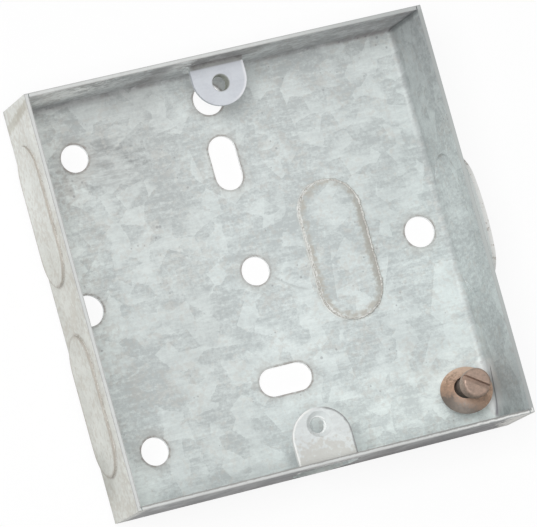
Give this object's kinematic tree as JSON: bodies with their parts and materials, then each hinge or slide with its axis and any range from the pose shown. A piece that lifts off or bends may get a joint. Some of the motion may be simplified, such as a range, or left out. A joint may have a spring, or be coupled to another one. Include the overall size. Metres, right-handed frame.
{
  "type": "flush back box",
  "caption": "Shallow square steel back box for a flush wall accessory, with inward screw lugs, fixing holes, slots, oblong knockouts and an earth terminal.",
  "frame": {"origin": "centre of the back face, on the axis of the centre hole", "axes": "+Z out of the open front, +Y towards the wall with the shorter screw lug, +X towards the wall with the prised-out knockout"},
  "size_m": [0.0749, 0.072, 0.016],
  "materials": {
    "galvanised_sheet": "satin galvanised, faint spangle",
    "screw_metal": "copper-coloured, dull",
    "copper_washer": "copper-coloured, dull"
  },
  "bodies": {
    "root": {"box_shell": "galvanised_sheet", "earth_screw": "screw_metal", "earth_cup_washer": "copper_washer"}
  },
  "joints": []
}
